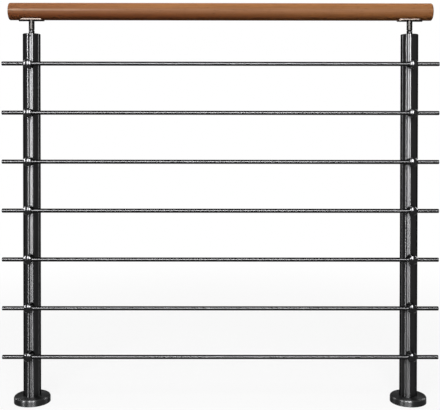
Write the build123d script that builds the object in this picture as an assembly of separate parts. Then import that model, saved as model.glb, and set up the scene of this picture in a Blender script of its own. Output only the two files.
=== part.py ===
"""Level section of a stair railing: two round steel posts on covered floor plates, seven round
crossbars carried in front of the posts, and a round wooden handrail on two jointed brackets.

Millimetres. The origin is the centre of the underside of the left floor plate. +X runs along the
railing to the right post, +Z is up, and the crossbars are on the -Y side of the posts.
"""
import os

from build123d import *

# Posts
POST_SPACING = 920.0
POST_HEIGHT = 897.0
POST_DIAMETER = 42.4
POST_WALL = 2.0

# Post caps
CAP_THICKNESS = 3.0
CAP_PLUG_LENGTH = 12.0
CAP_PLUG_CLEARANCE = 0.1
CAP_EDGE_CHAMFER = 0.8
CAP_PLUG_CHAMFER = 1.0

# Floor plates and their covers
PLATE_THICKNESS = 6.0
PLATE_CLEARANCE = 0.6
ANCHOR_HOLE_COUNT = 4
ANCHOR_HOLE_DIAMETER = 6.6
ANCHOR_FIRST_ANGLE = 45.0
COVER_DIAMETER = 87.6
COVER_HEIGHT = 16.0
COVER_WALL = 1.5
COVER_EDGE_RADIUS = 5.0
COVER_POST_CLEARANCE = 0.3

# Crossbars
BAR_COUNT = 7
BAR_PITCH = 116.8
LOWEST_BAR_HEIGHT = 121.0
BAR_DIAMETER = 10.0
BAR_OVERHANG = 61.0
BAR_END_CHAMFER = 0.6
BAR_STANDOFF = 21.6

# Bar holders
HOLDER_DIAMETER = 20.6
HOLDER_FRONT_DEPTH = 8.8
HOLDER_DOME_RISE = 2.5
HOLDER_RIM_CHAMFER = 1.2
HOLDER_BORE_CLEARANCE = 0.1
HOLDER_SEAT_CLEARANCE = 0.1
STUD_DIAMETER = 6.0
STUD_REACH = 6.0
STUD_CLEARANCE = 0.2
STUD_ROOT = 2.0

# Handrail
HANDRAIL_DIAMETER = 42.0
HANDRAIL_OVERHANG = 54.0
HANDRAIL_EDGE_RADIUS = 3.0

# Handrail brackets
STEM_DIAMETER = 14.0
STEM_HEIGHT = 31.2
FORK_HEIGHT = 9.3
FORK_FOOT_DIAMETER = 15.2
FORK_FOOT_HEIGHT = 2.0
FORK_STUD_DIAMETER = 8.0
FORK_STUD_CLEARANCE = 0.2
JOINT_GAP = 0.8
JOINT_EDGE_CHAMFER = 0.6
TONGUE_THICKNESS = 5.0
TONGUE_RADIUS = 3.8
TONGUE_CLEARANCE = 0.1
PIVOT_DIAMETER = 4.0
PIVOT_CLEARANCE = 0.05
PIVOT_HEAD_DIAMETER = 5.6
PIVOT_HEAD_INSET = 0.8

# Saddle plates
SADDLE_LENGTH = 62.0
SADDLE_WIDTH = 23.0
SADDLE_THICKNESS = 2.4
SADDLE_RAIL_CLEARANCE = 0.1
SADDLE_SCREW_SPACING = 42.0
SADDLE_SCREW_DIAMETER = 4.5
SADDLE_SCREW_HEAD_DIAMETER = 8.6
SADDLE_SPIGOT_DIAMETER = 6.0
SADDLE_SPIGOT_CLEARANCE = 0.1
SADDLE_SPIGOT_INSET = 0.3

# Places that follow from the sizes above
POST_RADIUS = POST_DIAMETER / 2
POST_INNER_RADIUS = POST_RADIUS - POST_WALL
BAR_Y = -(POST_RADIUS + BAR_STANDOFF)
BAR_HEIGHTS = [LOWEST_BAR_HEIGHT + BAR_PITCH * i for i in range(BAR_COUNT)]
PLATE_RADIUS = COVER_DIAMETER / 2 - COVER_WALL - PLATE_CLEARANCE
ANCHOR_CIRCLE_RADIUS = (POST_RADIUS + PLATE_RADIUS) / 2
SADDLE_INNER_RADIUS = HANDRAIL_DIAMETER / 2 + SADDLE_RAIL_CLEARANCE
SADDLE_OUTER_RADIUS = SADDLE_INNER_RADIUS + SADDLE_THICKNESS
HANDRAIL_HEIGHT = POST_HEIGHT + STEM_HEIGHT + SADDLE_OUTER_RADIUS
FORK_TOP = POST_HEIGHT + FORK_HEIGHT
PIVOT_HEIGHT = FORK_TOP - TONGUE_RADIUS
SLOT_WIDTH = TONGUE_THICKNESS + 2 * TONGUE_CLEARANCE
POST_PLACES = {"left": 0.0, "right": POST_SPACING}

UPRIGHT = (Align.CENTER, Align.CENTER, Align.MIN)


def rod(radius, length, low):
    """Upright cylinder whose lower end is at height low."""
    return Pos(0, 0, low) * Cylinder(radius, length, align=UPRIGHT)


def along_x(radius, length):
    """Cylinder along X, centred on the origin."""
    return Rot(0, 90, 0) * Cylinder(radius, length)


def forward(radius, start, end):
    """Cylinder that runs towards -Y, from y = -start to y = -end."""
    return Pos(0, -start, 0) * Rot(90, 0, 0) * Cylinder(radius, end - start, align=UPRIGHT)


def base_plate():
    """Round floor plate under the post, with holes for its anchors."""
    plate = rod(PLATE_RADIUS, PLATE_THICKNESS, 0)
    holes = PolarLocations(ANCHOR_CIRCLE_RADIUS, ANCHOR_HOLE_COUNT, start_angle=ANCHOR_FIRST_ANGLE)
    hole = Cylinder(ANCHOR_HOLE_DIAMETER / 2, PLATE_THICKNESS, align=UPRIGHT)
    return plate - [place * hole for place in holes]


def base_cover():
    """Pressed ring over the floor plate, open below, with a rounded top edge."""
    outside = rod(COVER_DIAMETER / 2, COVER_HEIGHT, 0)
    outside = fillet(outside.edges().group_by(Axis.Z)[-1], COVER_EDGE_RADIUS)
    inside = rod(COVER_DIAMETER / 2 - COVER_WALL, COVER_HEIGHT - COVER_WALL, 0)
    inside = chamfer(inside.edges().group_by(Axis.Z)[-1], COVER_EDGE_RADIUS - COVER_WALL)
    return outside - inside - rod(POST_RADIUS + COVER_POST_CLEARANCE, COVER_HEIGHT, 0)


def post_tube():
    """Tube that stands on the floor plate, drilled in front for the studs of the bar holders."""
    length = POST_HEIGHT - CAP_THICKNESS - PLATE_THICKNESS
    tube = rod(POST_RADIUS, length, PLATE_THICKNESS) - rod(POST_INNER_RADIUS, length, PLATE_THICKNESS)
    hole = forward(STUD_DIAMETER / 2 + STUD_CLEARANCE, 0, POST_DIAMETER)
    return tube - [Pos(0, 0, height) * hole for height in BAR_HEIGHTS]


def post_cap():
    """Flat cap with a plug that fits the tube, and a hole for the bracket's stud."""
    low = POST_HEIGHT - CAP_THICKNESS
    disc = rod(POST_RADIUS, CAP_THICKNESS, low)
    disc = chamfer(disc.edges().group_by(Axis.Z)[-1], CAP_EDGE_CHAMFER)
    plug = rod(POST_INNER_RADIUS - CAP_PLUG_CLEARANCE, CAP_PLUG_LENGTH, low - CAP_PLUG_LENGTH)
    plug = chamfer(plug.edges().group_by(Axis.Z)[0], CAP_PLUG_CHAMFER)
    stud_hole = rod(
        FORK_STUD_DIAMETER / 2 + FORK_STUD_CLEARANCE,
        CAP_PLUG_LENGTH + CAP_THICKNESS,
        low - CAP_PLUG_LENGTH,
    )
    return disc + plug - stud_hole


def pivot_head_seat():
    """Distance from the bracket's axis to the face that the pivot screw's head bears on."""
    return (SLOT_WIDTH / 2 + STEM_DIAMETER / 2) / 2


def bracket_fork():
    """Lower half of the bracket's joint: two ears on a flared foot, with a stud into the cap."""
    body = rod(STEM_DIAMETER / 2, FORK_HEIGHT, POST_HEIGHT)
    body = chamfer(body.edges().group_by(Axis.Z)[-1], JOINT_EDGE_CHAMFER)
    foot = Cone(FORK_FOOT_DIAMETER / 2, STEM_DIAMETER / 2, FORK_FOOT_HEIGHT, align=UPRIGHT)
    body += Pos(0, 0, POST_HEIGHT) * foot
    floor = PIVOT_HEIGHT - TONGUE_RADIUS - JOINT_GAP
    slot = Pos(0, 0, floor) * Box(STEM_DIAMETER * 2, SLOT_WIDTH, FORK_HEIGHT, align=UPRIGHT)
    bore = forward(PIVOT_DIAMETER / 2 + PIVOT_CLEARANCE, -STEM_DIAMETER, STEM_DIAMETER)
    head = forward(PIVOT_HEAD_DIAMETER / 2 + PIVOT_CLEARANCE, pivot_head_seat(), STEM_DIAMETER)
    stud_length = CAP_THICKNESS + CAP_PLUG_LENGTH
    stud = rod(FORK_STUD_DIAMETER / 2, stud_length, POST_HEIGHT - stud_length)
    return body - slot - Pos(0, 0, PIVOT_HEIGHT) * (bore + head) + stud


def pivot_screw():
    """Screw across the fork, with its head sunk in the front ear."""
    head_face = STEM_DIAMETER / 2 - PIVOT_HEAD_INSET
    shank = forward(PIVOT_DIAMETER / 2, -head_face, pivot_head_seat())
    head = forward(PIVOT_HEAD_DIAMETER / 2, pivot_head_seat(), head_face)
    return Pos(0, 0, PIVOT_HEIGHT) * (shank + head)


def bracket_stem():
    """Upper half of the joint: a round stem with a tongue below and a spigot into the saddle."""
    shoulder = FORK_TOP + JOINT_GAP
    stem = rod(STEM_DIAMETER / 2, HANDRAIL_HEIGHT - shoulder, shoulder)
    stem = chamfer(stem.edges().group_by(Axis.Z)[0], JOINT_EDGE_CHAMFER)
    stem -= Pos(0, 0, HANDRAIL_HEIGHT) * along_x(SADDLE_OUTER_RADIUS, 4 * STEM_DIAMETER)
    tongue = Pos(0, TONGUE_THICKNESS / 2, PIVOT_HEIGHT) * forward(TONGUE_RADIUS, 0, TONGUE_THICKNESS)
    neck_height = shoulder + JOINT_GAP - PIVOT_HEIGHT
    neck = Box(2 * TONGUE_RADIUS, TONGUE_THICKNESS, neck_height, align=UPRIGHT)
    tongue += Pos(0, 0, PIVOT_HEIGHT) * neck
    bore = forward(PIVOT_DIAMETER / 2 + PIVOT_CLEARANCE, -STEM_DIAMETER, STEM_DIAMETER)
    tongue -= Pos(0, 0, PIVOT_HEIGHT) * bore
    spigot_low = HANDRAIL_HEIGHT - SADDLE_OUTER_RADIUS - SADDLE_SPIGOT_INSET
    spigot_high = HANDRAIL_HEIGHT - SADDLE_INNER_RADIUS - SADDLE_SPIGOT_INSET
    spigot = rod(SADDLE_SPIGOT_DIAMETER / 2, spigot_high - spigot_low, spigot_low)
    return stem + tongue + spigot


def saddle_plate():
    """Curved plate under the handrail, round at both ends, with two countersunk screw holes."""
    shell = along_x(SADDLE_OUTER_RADIUS, SADDLE_LENGTH) - along_x(SADDLE_INNER_RADIUS, SADDLE_LENGTH)
    outline = extrude(SlotOverall(SADDLE_LENGTH, SADDLE_WIDTH), -SADDLE_OUTER_RADIUS)
    plate = shell & outline
    lowest = -SADDLE_OUTER_RADIUS
    plate -= rod(SADDLE_SPIGOT_DIAMETER / 2 + SADDLE_SPIGOT_CLEARANCE, SADDLE_OUTER_RADIUS, lowest)
    sink = (SADDLE_SCREW_HEAD_DIAMETER - SADDLE_SCREW_DIAMETER) / 2
    hole = rod(SADDLE_SCREW_DIAMETER / 2, SADDLE_OUTER_RADIUS, lowest)
    hole += Pos(0, 0, lowest) * Cone(
        SADDLE_SCREW_HEAD_DIAMETER / 2, SADDLE_SCREW_DIAMETER / 2, sink, align=UPRIGHT
    )
    for x in (-SADDLE_SCREW_SPACING / 2, SADDLE_SCREW_SPACING / 2):
        plate -= Pos(x, 0, 0) * hole
    return Pos(0, 0, HANDRAIL_HEIGHT) * plate


def bar_holder():
    """Round holder: coped to the post behind, bored for the bar, domed in front, with a stud."""
    front = -BAR_Y + HOLDER_FRONT_DEPTH
    radius = HOLDER_DIAMETER / 2
    barrel = forward(radius, 0, front)
    dome_radius = (radius**2 + HOLDER_DOME_RISE**2) / (2 * HOLDER_DOME_RISE)
    barrel &= Pos(0, dome_radius - front, 0) * Sphere(dome_radius)
    barrel = chamfer(barrel.edges().group_by(Axis.Y)[0], HOLDER_RIM_CHAMFER)
    barrel -= Cylinder(POST_RADIUS + HOLDER_SEAT_CLEARANCE, 2 * HOLDER_DIAMETER)
    bore_radius = BAR_DIAMETER / 2 + HOLDER_BORE_CLEARANCE
    barrel -= Pos(0, BAR_Y, 0) * along_x(bore_radius, 2 * HOLDER_DIAMETER)
    stud = forward(STUD_DIAMETER / 2, POST_INNER_RADIUS - STUD_REACH, POST_RADIUS + STUD_ROOT)
    return barrel + stud


def crossbar():
    """Solid round bar that runs past both posts."""
    bar = along_x(BAR_DIAMETER / 2, POST_SPACING + 2 * BAR_OVERHANG)
    ends = bar.edges().group_by(Axis.X)
    return Pos(POST_SPACING / 2, BAR_Y, 0) * chamfer(ends[0] + ends[-1], BAR_END_CHAMFER)


def handrail():
    """Round wooden rail with rounded end edges."""
    rail = along_x(HANDRAIL_DIAMETER / 2, POST_SPACING + 2 * HANDRAIL_OVERHANG)
    ends = rail.edges().group_by(Axis.X)
    rail = fillet(ends[0] + ends[-1], HANDRAIL_EDGE_RADIUS)
    return Pos(POST_SPACING / 2, 0, HANDRAIL_HEIGHT) * rail


def railing():
    """Every piece of the railing in its place, by name."""
    post_pieces = {
        "base_plate": base_plate(),
        "base_cover": base_cover(),
        "post": post_tube(),
        "post_cap": post_cap(),
        "bracket_fork": bracket_fork(),
        "pivot_screw": pivot_screw(),
        "bracket_stem": bracket_stem(),
        "saddle_plate": saddle_plate(),
    }
    holder = bar_holder()
    bar = crossbar()
    pieces = {"handrail": handrail()}
    for side, x in POST_PLACES.items():
        for name, piece in post_pieces.items():
            pieces[f"{side}_{name}"] = Pos(x, 0, 0) * piece
        for number, height in enumerate(BAR_HEIGHTS, start=1):
            pieces[f"{side}_bar_holder_{number}"] = Pos(x, 0, height) * holder
    for number, height in enumerate(BAR_HEIGHTS, start=1):
        pieces[f"crossbar_{number}"] = Pos(0, 0, height) * bar
    return pieces


os.makedirs("parts", exist_ok=True)
for node, solid in railing().items():
    export_step(solid, f"parts/{node}.step")
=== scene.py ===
"""Looks, small fasteners, light and camera for the level railing section. Metres, in the CAD frame."""

import math

import bmesh
import bpy
from mathutils import Matrix, Vector


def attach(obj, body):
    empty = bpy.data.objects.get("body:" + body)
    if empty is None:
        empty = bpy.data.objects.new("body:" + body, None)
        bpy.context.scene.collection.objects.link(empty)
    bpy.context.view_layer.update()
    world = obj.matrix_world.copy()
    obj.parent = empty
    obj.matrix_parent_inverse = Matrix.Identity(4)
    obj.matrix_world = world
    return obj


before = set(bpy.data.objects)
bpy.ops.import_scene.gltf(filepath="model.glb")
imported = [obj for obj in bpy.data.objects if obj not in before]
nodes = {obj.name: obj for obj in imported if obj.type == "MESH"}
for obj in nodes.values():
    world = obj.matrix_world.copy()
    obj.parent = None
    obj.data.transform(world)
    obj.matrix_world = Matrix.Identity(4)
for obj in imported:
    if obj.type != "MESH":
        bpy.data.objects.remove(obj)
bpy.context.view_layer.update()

# Sizes of the solids, by which fasteners, light and camera are placed
POST_SPACING = 0.920
POST_RADIUS = 0.0212
BAR_COUNT = 7
LOWEST_BAR_HEIGHT = 0.121
BAR_PITCH = 0.1168
BAR_Y = -0.0428
HOLDER_RADIUS = 0.0103
SADDLE_UNDERSIDE = 0.9282
SADDLE_SCREW_REACH = 0.021
PIVOT_HEIGHT = 0.9025
PIVOT_HEAD_FACE = 0.0062
POST_PLACES = {"left": 0.0, "right": POST_SPACING}
BAR_HEIGHTS = [LOWEST_BAR_HEIGHT + BAR_PITCH * i for i in range(BAR_COUNT)]
MIDDLE = POST_SPACING / 2

# The steels' relief and wear, and where the painted rim highlight lies
RING_PITCH = 0.0004
RING_DRIFT = 40.0
RING_RELIEF = 0.00004
CLOUD_SCALE = 22.0
CLOUD_SHARE = 0.15
CLOUD_SHADE = 0.7
ROUGHNESS_LOW = 0.92
ROUGHNESS_HIGH = 1.1
RIM_HIGHLIGHT_UPWARD_SHARE = 0.62
QUARTER_TURN = 0.25

# The wood's colours: each board has a lighter and a darker tone and changes along the handrail. The upper
# board's colours are partly a painted sheen, the lower board's partly painted shade.
UPPER_BOARD_AND_SHEEN = ((0.40, 0.184, 0.072), (0.33, 0.142, 0.051))
UPPER_BOARD_LEFT = (0.28, 0.114, 0.047)
LOWER_BOARD_AND_SHADE = ((0.30, 0.094, 0.030), (0.245, 0.071, 0.022))
LOWER_BOARD_RIGHT = ((0.48, 0.192, 0.063), (0.385, 0.146, 0.045))
# Colour of a painted highlight line along the handrail
HIGHLIGHT_LINE = (0.60, 0.39, 0.26)
DARK_FIBRE = (0.19, 0.070, 0.028)
PORE = (0.075, 0.026, 0.012)

# Where the wood changes, along the handrail and about the height of its painted highlight line
HIGHLIGHT_LINE_HEIGHT = 0.9534
RAIL_START = -0.05
LEFT_TONE_END = 0.35
RIGHT_TONE_START = 0.20
RIGHT_TONE_END = 0.95
HIGHLIGHT_LINE_END = 0.24
HIGHLIGHT_LINE_HALF_WIDTHS = (0.0005, 0.0034)
BOARD_BLEND = (-0.012, 0.001)


# Materials

def material(name):
    """New material, with its node tree and its shader."""
    mat = bpy.data.materials.new(name)
    mat.use_nodes = True
    tree = mat.node_tree
    shader = tree.nodes["Principled BSDF"]
    return mat, tree, shader


def scaled_noise(tree, scale, detail=3.0, roughness=0.55):
    """Noise over the object's own coordinates, stretched by a scale for each axis."""
    place = tree.nodes.new("ShaderNodeTexCoord")
    mapping = tree.nodes.new("ShaderNodeMapping")
    mapping.inputs["Scale"].default_value = scale
    noise = tree.nodes.new("ShaderNodeTexNoise")
    noise.inputs["Scale"].default_value = 1.0
    noise.inputs["Detail"].default_value = detail
    noise.inputs["Roughness"].default_value = roughness
    tree.links.new(place.outputs["Object"], mapping.inputs["Vector"])
    tree.links.new(mapping.outputs["Vector"], noise.inputs["Vector"])
    return noise.outputs["Fac"]


def spread(tree, value, low, high, start=0.3, end=0.7):
    """The value from start to end, mapped to low to high."""
    node = tree.nodes.new("ShaderNodeMapRange")
    node.inputs["From Min"].default_value = start
    node.inputs["From Max"].default_value = end
    node.inputs["To Min"].default_value = low
    node.inputs["To Max"].default_value = high
    tree.links.new(value, node.inputs["Value"])
    return node.outputs["Result"]


def between(tree, factor, first, second):
    """Mix of two colours by a factor. Each is a colour or a colour output."""
    node = tree.nodes.new("ShaderNodeMix")
    node.data_type = "RGBA"
    tree.links.new(factor, node.inputs[0])
    for socket, colour in ((node.inputs[6], first), (node.inputs[7], second)):
        if isinstance(colour, tuple):
            socket.default_value = (*colour, 1.0)
        else:
            tree.links.new(colour, socket)
    return node.outputs[2]


def bump(tree, shader, height, strength, distance):
    """Surface relief from a height output."""
    node = tree.nodes.new("ShaderNodeBump")
    node.inputs["Strength"].default_value = strength
    node.inputs["Distance"].default_value = distance
    tree.links.new(height, node.inputs["Height"])
    tree.links.new(node.outputs["Normal"], shader.inputs["Normal"])


def reckon(tree, operation, first, second):
    """One step of arithmetic on an output and a number or output."""
    node = tree.nodes.new("ShaderNodeMath")
    node.operation = operation
    tree.links.new(first, node.inputs[0])
    if isinstance(second, float):
        node.inputs[1].default_value = second
    else:
        tree.links.new(second, node.inputs[1])
    return node.outputs[0]


def facing_up(tree, share):
    """1 where the normal has a given upward share, as on a rounded edge, and 0 well away from it. It masks a
    painted highlight.
    """
    geometry = tree.nodes.new("ShaderNodeNewGeometry")
    split = tree.nodes.new("ShaderNodeSeparateXYZ")
    tree.links.new(geometry.outputs["Normal"], split.inputs[0])
    away = reckon(tree, "ABSOLUTE", reckon(tree, "SUBTRACT", split.outputs["Z"], share), 0.0)
    return spread(tree, away, 1.0, 0.0, start=0.08, end=0.34)


def brushed_steel(name, axis, dark, light, roughness, anisotropy, edge=0.35, rim=None):
    """Steel ground round an axis: fine rings across it and a highlight drawn out along it.

    A low edge darkens what is seen at a grazing angle, and rim is the colour of a painted highlight on a
    rounded upper edge.
    """
    mat, tree, shader = material(name)
    ring_scale = [RING_DRIFT] * 3
    ring_scale["XYZ".index(axis)] = 1.0 / RING_PITCH
    rings = scaled_noise(tree, ring_scale, detail=4.0, roughness=0.6)
    clouds = scaled_noise(tree, [CLOUD_SCALE] * 3)
    mixed = between(tree, spread(tree, rings, 0.0, 1.0), dark, light)
    cloud_colour = tuple(channel * CLOUD_SHADE for channel in dark)
    worn_and_rim_highlight = between(tree, spread(tree, clouds, 0.0, CLOUD_SHARE), mixed, cloud_colour)
    # Painted highlight: the rim colour, lighter than the steel, where the normal faces partly upward
    if rim:
        worn_and_rim_highlight = between(tree, facing_up(tree, RIM_HIGHLIGHT_UPWARD_SHARE), worn_and_rim_highlight, rim)
    tree.links.new(worn_and_rim_highlight, shader.inputs["Base Color"])
    uneven = spread(tree, rings, roughness * ROUGHNESS_LOW, roughness * ROUGHNESS_HIGH)
    tree.links.new(uneven, shader.inputs["Roughness"])
    shader.inputs["Metallic"].default_value = 1.0
    shader.inputs["Specular Tint"].default_value = (edge, edge, edge, 1.0)
    shader.inputs["Anisotropic"].default_value = anisotropy
    shader.inputs["Anisotropic Rotation"].default_value = QUARTER_TURN
    tangent = tree.nodes.new("ShaderNodeTangent")
    tangent.direction_type = "RADIAL"
    tangent.axis = axis
    tree.links.new(tangent.outputs["Tangent"], shader.inputs["Tangent"])
    bump(tree, shader, rings, strength=0.03, distance=RING_RELIEF)
    return mat


def hardwood(name):
    """Lacquered wood with its grain along X, glued up from a brown upper and a redder lower board. The upper
    board's lighter colour is partly a painted sheen and the lower board's darker colour partly painted shade,
    and a painted highlight line runs along the handrail at the joint.
    """
    mat, tree, shader = material(name)
    figure = scaled_noise(tree, [2.2, 55.0, 55.0], detail=4.0, roughness=0.6)
    fibre = scaled_noise(tree, [14.0, 900.0, 900.0], detail=3.0, roughness=0.6)
    pores = scaled_noise(tree, [60.0, 1500.0, 1500.0], detail=2.0, roughness=0.5)
    place = tree.nodes.new("ShaderNodeTexCoord")
    split = tree.nodes.new("ShaderNodeSeparateXYZ")
    tree.links.new(place.outputs["Object"], split.inputs[0])
    along = split.outputs["X"]
    above = reckon(tree, "SUBTRACT", split.outputs["Z"], HIGHLIGHT_LINE_HEIGHT)
    tone = spread(tree, figure, 0.0, 1.0)

    brown = between(tree, tone, *UPPER_BOARD_AND_SHEEN)
    at_left = spread(tree, along, 1.0, 0.0, RAIL_START, LEFT_TONE_END)
    brown = between(tree, at_left, brown, UPPER_BOARD_LEFT)
    red = between(tree, tone, *LOWER_BOARD_AND_SHADE)
    amber = between(tree, tone, *LOWER_BOARD_RIGHT)
    at_right = spread(tree, along, 0.0, 1.0, RIGHT_TONE_START, RIGHT_TONE_END)
    red = between(tree, at_right, red, amber)
    # Lighter and yellower above, darker and redder below: partly two boards, partly painted sheen above and
    # painted shade below
    boards_and_shade = between(tree, spread(tree, above, 0.0, 1.0, *BOARD_BLEND), red, brown)

    # A painted highlight: a pale line along the handrail at this height, fading towards the right
    line = spread(tree, reckon(tree, "ABSOLUTE", above, 0.0), 1.0, 0.0, *HIGHLIGHT_LINE_HALF_WIDTHS)
    fading = spread(tree, along, 0.9, 0.06, RAIL_START, HIGHLIGHT_LINE_END)
    highlighted = between(tree, reckon(tree, "MULTIPLY", line, fading), boards_and_shade, HIGHLIGHT_LINE)
    grain = between(tree, spread(tree, fibre, 0.0, 0.55), highlighted, DARK_FIBRE)
    pored = between(tree, spread(tree, pores, 0.0, 0.7, 0.62, 0.74), grain, PORE)
    tree.links.new(pored, shader.inputs["Base Color"])
    tree.links.new(spread(tree, fibre, 0.46, 0.6), shader.inputs["Roughness"])
    shader.inputs["Specular IOR Level"].default_value = 0.02
    bump(tree, shader, fibre, strength=0.25, distance=0.00012)
    return mat


def socket_black(name):
    """Shaded inside of a screw's socket, with a trace of oil."""
    mat, tree, shader = material(name)
    specks = scaled_noise(tree, [900.0, 900.0, 900.0], detail=2.0)
    shade = between(tree, spread(tree, specks, 0.0, 1.0), (0.012, 0.012, 0.013), (0.03, 0.03, 0.031))
    tree.links.new(shade, shader.inputs["Base Color"])
    tree.links.new(spread(tree, specks, 0.55, 0.75), shader.inputs["Roughness"])
    shader.inputs["Specular IOR Level"].default_value = 0.0
    return mat


STEEL_DARK = (0.0185, 0.0185, 0.019)
STEEL_LIGHT = (0.0235, 0.0235, 0.024)
post_steel = brushed_steel(
    "post_brushed_steel", "Z", STEEL_DARK, STEEL_LIGHT, roughness=0.30, anisotropy=1.0
)
# The cover's rounded upper edge takes a lighter rim colour, a painted highlight
cover_steel = brushed_steel(
    "cover_brushed_steel", "Z", STEEL_DARK, STEEL_LIGHT, roughness=0.38, anisotropy=0.9,
    edge=0.49, rim=(0.034, 0.034, 0.0345),
)
bar_steel = brushed_steel(
    "bar_ground_steel", "X", (0.0185, 0.0185, 0.019), (0.0225, 0.0225, 0.023),
    roughness=0.27, anisotropy=1.0, edge=0.0,
)
holder_steel = brushed_steel(
    "holder_turned_steel", "Y", (0.0125, 0.0125, 0.013), (0.0215, 0.0215, 0.022),
    roughness=0.17, anisotropy=0.6, edge=0.75,
)
bracket_steel = brushed_steel(
    "bracket_turned_steel", "Z", (0.0083, 0.008, 0.0077), (0.0147, 0.0137, 0.013),
    roughness=0.30, anisotropy=0.8,
)
fork_steel = brushed_steel(
    "fork_turned_steel", "Z", (0.003, 0.003, 0.003), (0.0053, 0.005, 0.005),
    roughness=0.34, anisotropy=0.6,
)
saddle_steel = brushed_steel(
    "saddle_brushed_steel", "X", (0.019, 0.0157, 0.0138), (0.0325, 0.0267, 0.024),
    roughness=0.32, anisotropy=0.6,
)
screw_steel = brushed_steel(
    "screw_turned_steel", "Y", STEEL_DARK, STEEL_LIGHT, roughness=0.26, anisotropy=0.3
)
plate_steel = brushed_steel(
    "plate_milled_steel", "X", (0.12, 0.12, 0.122), (0.2, 0.2, 0.203), roughness=0.38, anisotropy=0.4
)
rail_wood = hardwood("rail_hardwood")
socket_dark = socket_black("socket_shade")

FINISHES = {
    "base_plate": plate_steel,
    "base_cover": cover_steel,
    "post_cap": post_steel,
    "post": post_steel,
    "bracket_fork": fork_steel,
    "bracket_stem": bracket_steel,
    "pivot_screw": screw_steel,
    "saddle_plate": saddle_steel,
    "bar_holder": holder_steel,
    "crossbar": bar_steel,
    "handrail": rail_wood,
}


def finish_of(node):
    """The material for a CAD node, by the plain part of its name."""
    plain = node.replace("left_", "").replace("right_", "").rstrip("_1234567")
    return FINISHES[plain]


for node, obj in nodes.items():
    for place in obj.material_slots:
        place.material = finish_of(node)


# Small fasteners

CAP_SCREW_HEIGHT = 0.891
CAP_SCREW_PROUD = 0.0006
PIVOT_SOCKET_PROUD = 0.0004
HOLDER_SCREW_PROUD = 0.0004
SADDLE_SCREW_SUNK = 0.0002
SCREW_BEVEL = 0.0002
SCREW_EDGE = SCREW_BEVEL * 0.3
SOCKET_POINT = 1.05


def ring(mesh, radius_at, height, count=36):
    """Ring of points at a height, with a radius for each angle."""
    points = []
    for i in range(count):
        angle = 2 * math.pi * i / count
        radius = radius_at(angle)
        points.append(mesh.verts.new((radius * math.cos(angle), radius * math.sin(angle), height)))
    return points


def join_rings(mesh, low, high, material_index=0):
    """Band of faces between two rings."""
    count = len(low)
    for i in range(count):
        face = mesh.faces.new((low[i], low[(i + 1) % count], high[(i + 1) % count], high[i]))
        face.material_index = material_index
        face.smooth = True


def round_of(radius):
    """The same radius at every angle."""
    return lambda angle: radius


def hexagon_of(across_flats):
    """Radius of a hexagon at each angle."""
    def at(angle):
        turned = (angle + math.pi / 6) % (math.pi / 3) - math.pi / 6
        return across_flats / 2 / math.cos(turned)
    return at


def socket_screw(name, place, radius, length, across_flats, depth, foot_radius=None, finish=None):
    """Closed screw with a hexagon socket and a bevelled edge. Its face is at height 0, and it points down."""
    mesh = bmesh.new()
    foot = ring(mesh, round_of(foot_radius or radius), -length)
    side = ring(mesh, round_of(radius), -SCREW_BEVEL)
    edge = ring(mesh, round_of(radius - SCREW_EDGE), -SCREW_EDGE)
    rim = ring(mesh, round_of(radius - SCREW_BEVEL), 0)
    lip = ring(mesh, hexagon_of(across_flats + SCREW_BEVEL), 0)
    mouth = ring(mesh, hexagon_of(across_flats), -SCREW_BEVEL / 2)
    floor = ring(mesh, hexagon_of(across_flats), -depth)
    join_rings(mesh, foot, side)
    join_rings(mesh, side, edge)
    join_rings(mesh, edge, rim)
    join_rings(mesh, rim, lip)
    join_rings(mesh, lip, mouth)
    join_rings(mesh, mouth, floor, 1)
    mesh.faces.new(list(reversed(foot)))
    centre = mesh.verts.new((0, 0, -depth * SOCKET_POINT))
    for i in range(len(floor)):
        face = mesh.faces.new((floor[i], floor[(i + 1) % len(floor)], centre))
        face.material_index = 1
    bmesh.ops.recalc_face_normals(mesh, faces=mesh.faces)
    data = bpy.data.meshes.new(name)
    mesh.to_mesh(data)
    mesh.free()
    data.materials.append(finish or screw_steel)
    data.materials.append(socket_dark)
    data.transform(place)
    obj = bpy.data.objects.new(name, data)
    bpy.context.scene.collection.objects.link(obj)
    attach(obj, "root")


def facing(direction, point):
    """Place whose +Z looks along a direction, at a point."""
    turn = Vector(direction).to_track_quat("Z", "Y").to_matrix().to_4x4()
    return Matrix.Translation(point) @ turn


def cap_grub_screw(side, x):
    """Dark grub screw in front of a post, just under its cap."""
    place = facing((0, -1, 0), (x, -POST_RADIUS - CAP_SCREW_PROUD, CAP_SCREW_HEIGHT))
    socket_screw(
        f"{side}_cap_grub_screw", place,
        radius=0.0028, length=0.0020, across_flats=0.0030, depth=0.0005, finish=socket_dark,
    )


def pivot_screw_socket(side, x):
    """Face of the pivot screw's head, with its socket."""
    place = facing((0, -1, 0), (x, -PIVOT_HEAD_FACE - PIVOT_SOCKET_PROUD, PIVOT_HEIGHT))
    socket_screw(
        f"{side}_pivot_screw_socket", place,
        radius=0.0027, length=0.0006, across_flats=0.0025, depth=0.0003,
    )


def saddle_wood_screw(side, number, x):
    """Countersunk screw that holds the saddle plate to the handrail."""
    place = facing((0, 0, -1), (x, 0, SADDLE_UNDERSIDE + SADDLE_SCREW_SUNK))
    socket_screw(
        f"{side}_saddle_wood_screw_{number}", place,
        radius=0.0041, length=0.0018, across_flats=0.003, depth=0.0014, foot_radius=0.0024,
    )


def bar_holder_grub_screw(side, number, x, z):
    """Grub screw under a bar holder, which clamps its bar."""
    place = facing((0, 0, -1), (x, BAR_Y, z - HOLDER_RADIUS - HOLDER_SCREW_PROUD))
    socket_screw(
        f"{side}_bar_holder_grub_screw_{number}", place,
        radius=0.0020, length=0.0018, across_flats=0.002, depth=0.0003,
    )


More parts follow.
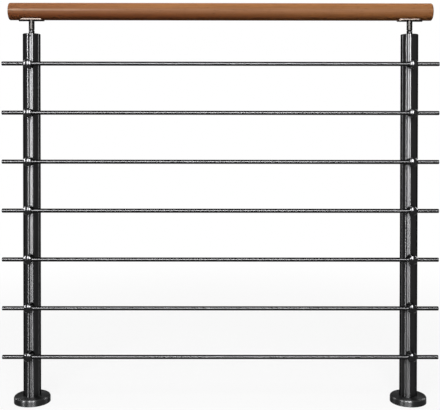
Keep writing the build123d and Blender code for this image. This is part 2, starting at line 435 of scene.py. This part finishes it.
for side, x in POST_PLACES.items():
    cap_grub_screw(side, x)
    pivot_screw_socket(side, x)
    for number, reach in enumerate((-SADDLE_SCREW_REACH, SADDLE_SCREW_REACH), start=1):
        saddle_wood_screw(side, number, x + reach)
    for number, z in enumerate(BAR_HEIGHTS, start=1):
        bar_holder_grub_screw(side, number, x, z)


# Floor and light

FILL = 0.22
FLOOR_DROP = 0.0004
FLOOR_HALF = 7.0
FLOOR_GREY = 0.94
FLOOR_FADE = {"From Min": 0.6, "From Max": 2.2, "To Min": 0.84, "To Max": 1.0}

# Tall strips in front of the railing: distance from its middle, width and brightness
STRIPS = {
    "strip_left": (-2.75, 0.32, 310.0),
    "strip_middle": (-0.66, 0.5, 102.0),
    "strip_right": (0.39, 0.5, 132.0),
}
STRIP_Y = -2.4
STRIP_Z = 1.35
STRIP_LENGTH = 1.5

# Strips beside the railing and behind it, for the line near each post's edge
RIMS = {"rim_left": -2.29, "rim_right": 2.29}
RIM_Y = 1.2
RIM_Z = 1.7
RIM_WIDTH = 0.25
RIM_LENGTH = 2.2
RIM_RADIANCE = 46.0


def seen_ray(tree):
    """1 for camera, glossy and transmission rays."""
    path = tree.nodes.new("ShaderNodeLightPath")
    total = path.outputs["Is Camera Ray"]
    for name in ("Is Glossy Ray", "Is Transmission Ray"):
        total = reckon(tree, "MAXIMUM", total, path.outputs[name])
    return total


def white_world():
    """White where it is seen, and a soft fill elsewhere."""
    world = bpy.data.worlds.new("studio")
    world.use_nodes = True
    tree = world.node_tree
    back = tree.nodes["Background"]
    back.inputs["Color"].default_value = (1, 1, 1, 1)
    strength = spread(tree, seen_ray(tree), FILL, 1.0, start=0.0, end=1.0)
    tree.links.new(strength, back.inputs["Strength"])
    bpy.context.scene.world = world


def floor_material():
    """Matt pale grey near the railing, which runs out into the white of the background."""
    mat = bpy.data.materials.new("pale_floor")
    mat.use_nodes = True
    tree = mat.node_tree
    tree.nodes.remove(tree.nodes["Principled BSDF"])
    matt = tree.nodes.new("ShaderNodeBsdfDiffuse")
    matt.inputs["Color"].default_value = (FLOOR_GREY, FLOOR_GREY, FLOOR_GREY, 1)
    glow = tree.nodes.new("ShaderNodeEmission")
    glow.inputs["Color"].default_value = (1, 1, 1, 1)
    tree.links.new(seen_ray(tree), glow.inputs["Strength"])
    place = tree.nodes.new("ShaderNodeTexCoord")
    reach = tree.nodes.new("ShaderNodeVectorMath")
    reach.operation = "LENGTH"
    tree.links.new(place.outputs["Object"], reach.inputs[0])
    fade = tree.nodes.new("ShaderNodeMapRange")
    fade.interpolation_type = "SMOOTHSTEP"
    for name, value in FLOOR_FADE.items():
        fade.inputs[name].default_value = value
    tree.links.new(reach.outputs["Value"], fade.inputs["Value"])
    mix = tree.nodes.new("ShaderNodeMixShader")
    tree.links.new(fade.outputs["Result"], mix.inputs[0])
    tree.links.new(matt.outputs[0], mix.inputs[1])
    tree.links.new(glow.outputs[0], mix.inputs[2])
    tree.links.new(mix.outputs[0], tree.nodes["Material Output"].inputs["Surface"])
    return mat


def pale_floor():
    """Level floor just under the railing, which takes its shadow."""
    mesh = bmesh.new()
    bmesh.ops.create_grid(mesh, x_segments=8, y_segments=8, size=FLOOR_HALF)
    data = bpy.data.meshes.new("floor")
    mesh.to_mesh(data)
    mesh.free()
    data.materials.append(floor_material())
    floor = bpy.data.objects.new("floor", data)
    floor.location = (MIDDLE, 0, -FLOOR_DROP)
    bpy.context.scene.collection.objects.link(floor)


def soft_lamp(name, place, target, width, height, radiance, seen_in):
    """Rectangular soft lamp aimed at a point, for either diffuse or glossy light."""
    lamp = bpy.data.lights.new(name, "AREA")
    lamp.shape = "RECTANGLE"
    lamp.size = width
    lamp.size_y = height
    lamp.energy = radiance * math.pi * width * height
    obj = bpy.data.objects.new(name, lamp)
    obj.location = place
    aim = Vector(target) - Vector(place)
    obj.rotation_euler = aim.to_track_quat("-Z", "Y").to_euler()
    obj.visible_camera = False
    obj.visible_diffuse = seen_in == "diffuse"
    obj.visible_glossy = seen_in == "glossy"
    bpy.context.scene.collection.objects.link(obj)


def studio_light():
    """Soft light from the front and from above, and strips that draw the streaks on the steel."""
    soft_lamp(
        "key", (MIDDLE - 0.25, -2.3, 2.15), (MIDDLE, 0, 0.5),
        width=2.0, height=1.0, radiance=10.8, seen_in="diffuse",
    )
    soft_lamp(
        "top", (MIDDLE, 0.2, 3.2), (MIDDLE, 0, 0),
        width=2.4, height=2.4, radiance=1.3, seen_in="diffuse",
    )
    for name, (away, width, radiance) in STRIPS.items():
        x = MIDDLE + away
        soft_lamp(name, (x, STRIP_Y, STRIP_Z), (x, 0, STRIP_Z), width, STRIP_LENGTH, radiance, "glossy")
    for name, away in RIMS.items():
        place = (MIDDLE + away, RIM_Y, RIM_Z)
        soft_lamp(name, place, (MIDDLE, 0, RIM_Z), RIM_WIDTH, RIM_LENGTH, RIM_RADIANCE, "glossy")


white_world()
pale_floor()
studio_light()


# Camera

CAMERA_PLACE = (MIDDLE - 0.0059, -1.8951, 0.6677)
CAMERA_YAW = math.radians(-0.137)
CAMERA_PITCH = math.radians(0.722)
CAMERA_ROLL = math.radians(0.059)
CAMERA_LENS = 63.568
CAMERA_SHIFT = -0.1516


def photo_camera():
    """Camera where the photograph's was, for a frame of 440 by 410."""
    level = math.cos(CAMERA_PITCH)
    ahead = Vector((-math.sin(CAMERA_YAW) * level, math.cos(CAMERA_YAW) * level, -math.sin(CAMERA_PITCH)))
    right = Vector((math.cos(CAMERA_YAW), math.sin(CAMERA_YAW), 0.0))
    up = right.cross(ahead)
    turn = Matrix((right, up, -ahead)).transposed().to_4x4()
    data = bpy.data.cameras.new("photo_camera")
    data.sensor_width = 36.0
    data.lens = CAMERA_LENS
    data.shift_y = CAMERA_SHIFT
    data.clip_start = 0.05
    data.clip_end = 60.0
    data.dof.use_dof = False
    camera = bpy.data.objects.new("photo_camera", data)
    roll = Matrix.Rotation(CAMERA_ROLL, 4, "Z")
    camera.matrix_world = Matrix.Translation(CAMERA_PLACE) @ turn @ roll
    bpy.context.scene.collection.objects.link(camera)
    bpy.context.scene.camera = camera


photo_camera()
bpy.context.scene.view_settings.view_transform = "Standard"
